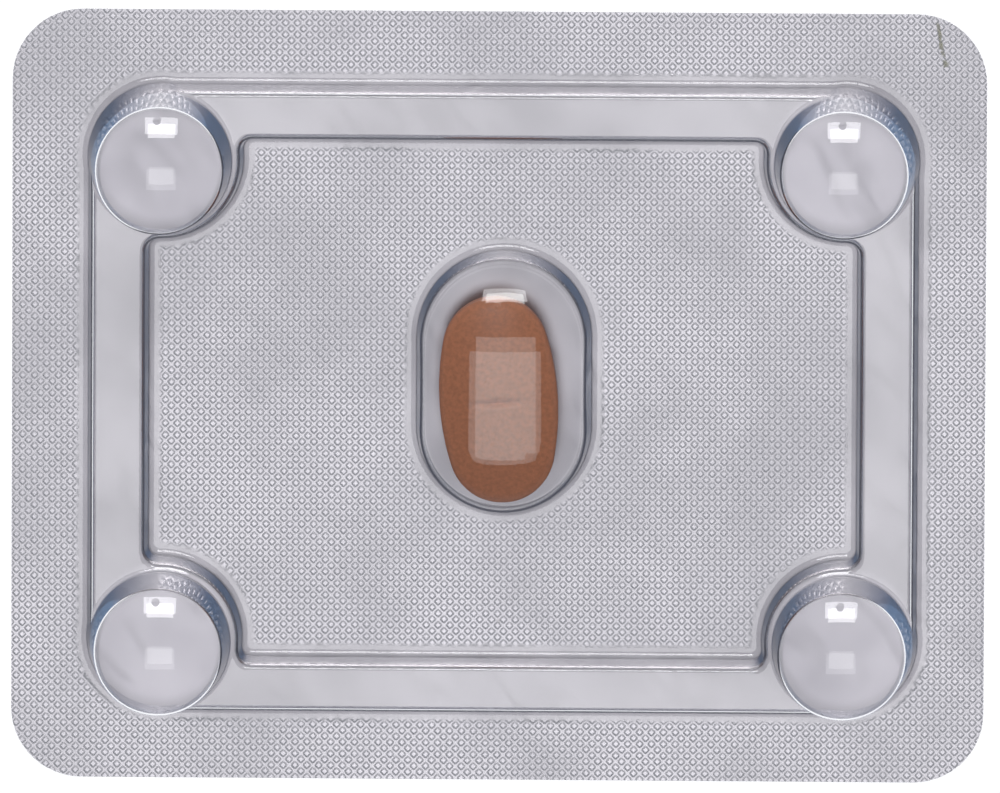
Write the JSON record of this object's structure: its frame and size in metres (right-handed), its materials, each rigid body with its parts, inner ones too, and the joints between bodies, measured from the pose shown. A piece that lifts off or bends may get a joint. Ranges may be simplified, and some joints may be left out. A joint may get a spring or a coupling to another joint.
{
  "type": "tablet blister card",
  "caption": "Clear formed blister card with a foil back, corner studs joined by a raised channel, and an oval tablet in the middle pocket.",
  "frame": {"origin": "middle of the foil's underside, the lowest face of the card", "axes": "+X along the card's long side, +Y along its short side towards the top edge of the picture, +Z out of the foil towards the formed side"},
  "size_m": [0.081, 0.0644, 0.0119],
  "materials": {
    "clear_film": "clear rigid film with a faint blue tint, smooth and glossy",
    "foil": "soft bright foil, embossed with a fine diamond seal pattern",
    "tablet_coat": "brown film-coated tablet with a low sheen"
  },
  "bodies": {
    "root": {"forming_film": "clear_film", "lidding_foil": "foil", "tablet": "tablet_coat"}
  },
  "joints": []
}
